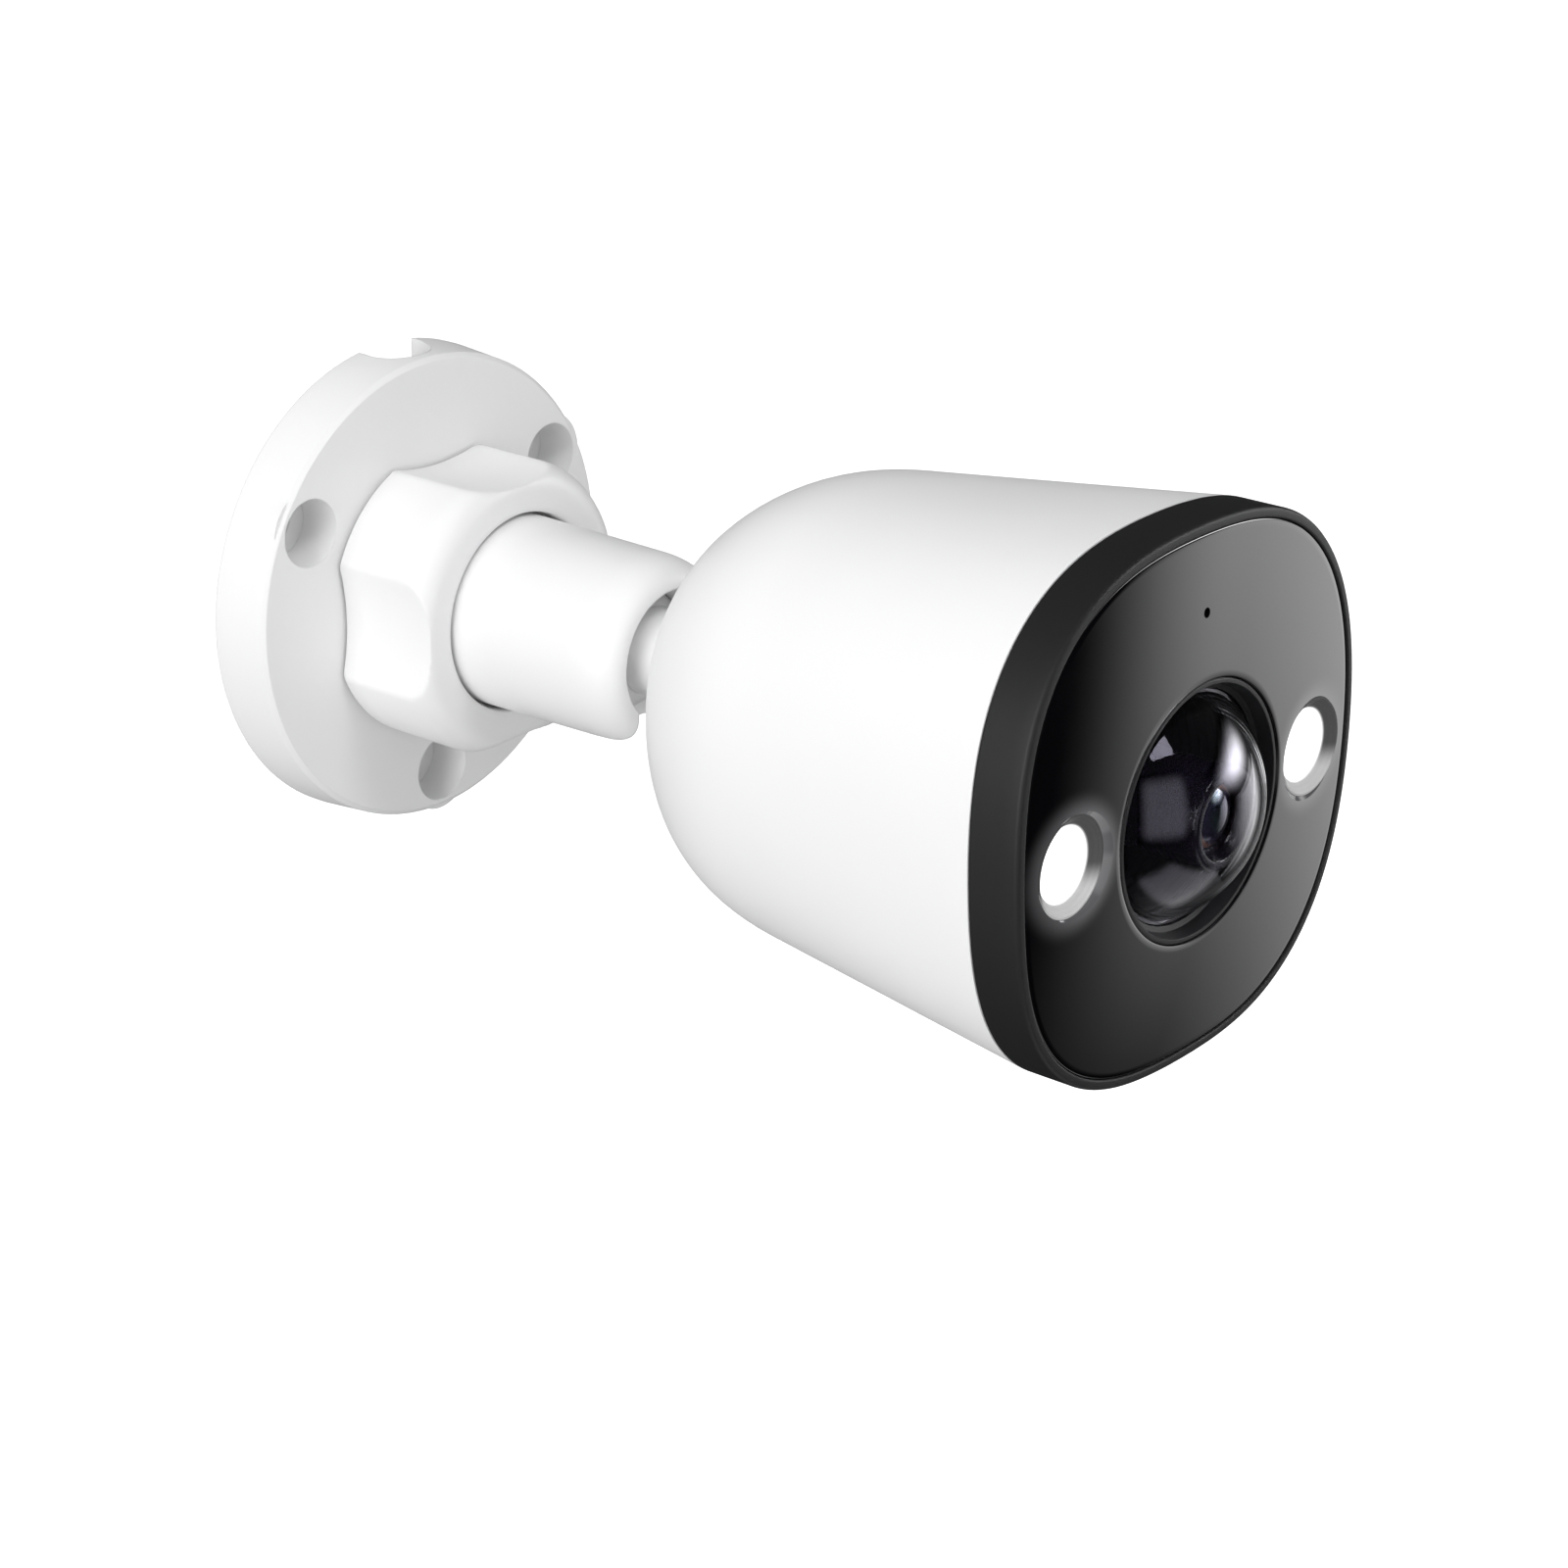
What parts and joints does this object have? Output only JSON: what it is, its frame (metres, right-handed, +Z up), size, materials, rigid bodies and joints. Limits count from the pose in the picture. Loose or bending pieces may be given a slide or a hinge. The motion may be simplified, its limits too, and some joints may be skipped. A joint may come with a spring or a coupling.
{
  "type": "wall-mounted security camera",
  "caption": "Bullet security camera on a round wall bracket with a fluted lock ring, swivel arm, ball joint, domed lens and two spotlights.",
  "frame": {"origin": "centre of the wall plate's back, on the wall", "axes": "+Z up, +Y into the wall, the camera looks along -Y at rest"},
  "size_m": [0.0774, 0.1562, 0.0761],
  "materials": {
    "white_plastic": "satin",
    "black_plastic": "fine matt texture",
    "gloss_panel": "high gloss",
    "rubber": "matt",
    "clear_glass": "polished",
    "light_optic": "polished, lit",
    "circuit_board": "solder mask",
    "chip_package": "moulded",
    "steel": "zinc plated",
    "aluminium": "plain",
    "brass": "turned",
    "phosphor": "phosphor",
    "white_washer": "natural acetal",
    "black_ball": "satin",
    "heat_pad": "soft",
    "sensor": "glass lid over silicon",
    "infrared_glass": "coated",
    "barrel_black": "satin anodised",
    "coated_glass": "violet coated",
    "ring_black": "semi-gloss"
  },
  "bodies": {
    "wall_mount": {"wall_plate": "white_plastic", "friction_washer": "rubber"},
    "nut_carriage": {"slip_washer": "white_washer"},
    "lock_ring": {"ring_nut": "white_plastic"},
    "arm": {"arm": "white_plastic", "ball_seat": "white_washer", "preload_ring": "rubber", "seat_plug": "black_plastic"},
    "joint_ball": {"ball": "black_ball"},
    "filter_slide": {"filter_carrier": "black_plastic", "infrared_filter": "infrared_glass", "clear_filter": "clear_glass"},
    "reset": {"reset_button": "white_washer"},
    "head": {"neck": "white_plastic", "neck_clip": "steel", "neck_seal": "rubber", "rear_shell": "white_plastic", "neck_washer": "steel", "neck_nut": "brass", "access_cover": "white_plastic", "access_gasket": "rubber", "cover_screws": "steel", "reset_switch": "chip_package", "card_socket": "steel", "memory_card": "chip_package", "main_board": "circuit_board", "board_chips": "chip_package", "heat_pad": "heat_pad", "heat_spreader": "aluminium", "chassis": "black_plastic", "chassis_screws": "steel", "sensor_board": "circuit_board", "image_sensor": "sensor", "lens_holder": "black_plastic", "filter_motor": "chip_package", "sensor_screws": "steel", "lens_barrel": "barrel_black", "front_element": "coated_glass", "lens_spacer": "black_plastic", "rear_element": "coated_glass", "lens_cup": "black_plastic", "dome_seal": "rubber", "lens_dome": "clear_glass", "lens_ring": "ring_black", "front_panel": "gloss_panel", "panel_tape": "rubber", "bezel": "black_plastic", "front_frame": "black_plastic", "bezel_screws": "steel", "shell_seal": "rubber", "light_boards": "circuit_board", "light_chips": "phosphor", "light_lenses": "light_optic", "microphone": "aluminium", "mic_sleeve": "rubber", "loudspeaker": "black_plastic", "aerials": "circuit_board"}
  },
  "joints": [
    {"name": "nut_travel", "type": "slide", "parent": "wall_mount", "child": "nut_carriage", "axis": [0, -1, 0], "range_m": [0, 0.001]},
    {"name": "nut_turn", "type": "hinge", "parent": "nut_carriage", "child": "lock_ring", "pos_m": [0, -0.02, 0], "axis": [0, -1, 0], "range_deg": [0, 180]},
    {"name": "arm_pan", "type": "hinge", "parent": "wall_mount", "child": "arm", "pos_m": [0, -0.03, 0], "axis": [0, -1, 0], "range_deg": [-180, 180]},
    {"name": "head_tilt", "type": "hinge", "parent": "arm", "child": "joint_ball", "pos_m": [0, -0.0445, 0], "axis": [1, 0, 0], "range_deg": [-12, 55]},
    {"name": "head_roll", "type": "hinge", "parent": "joint_ball", "child": "head", "pos_m": [0, -0.0445, 0], "axis": [0, -1, 0], "range_deg": [-180, 180]},
    {"name": "filter_shift", "type": "slide", "parent": "head", "child": "filter_slide", "axis": [-1, 0, 0], "range_m": [0, 0.007]},
    {"name": "reset_press", "type": "slide", "parent": "head", "child": "reset", "axis": [0, 0, 1], "range_m": [0, 0.0005], "stiffness_N_per_m": 600, "springref_m": -0.0003}
  ],
  "couplings": [
    {"joint": "nut_travel", "follows": "nut_turn", "m_per_rad": 0.000318}
  ]
}
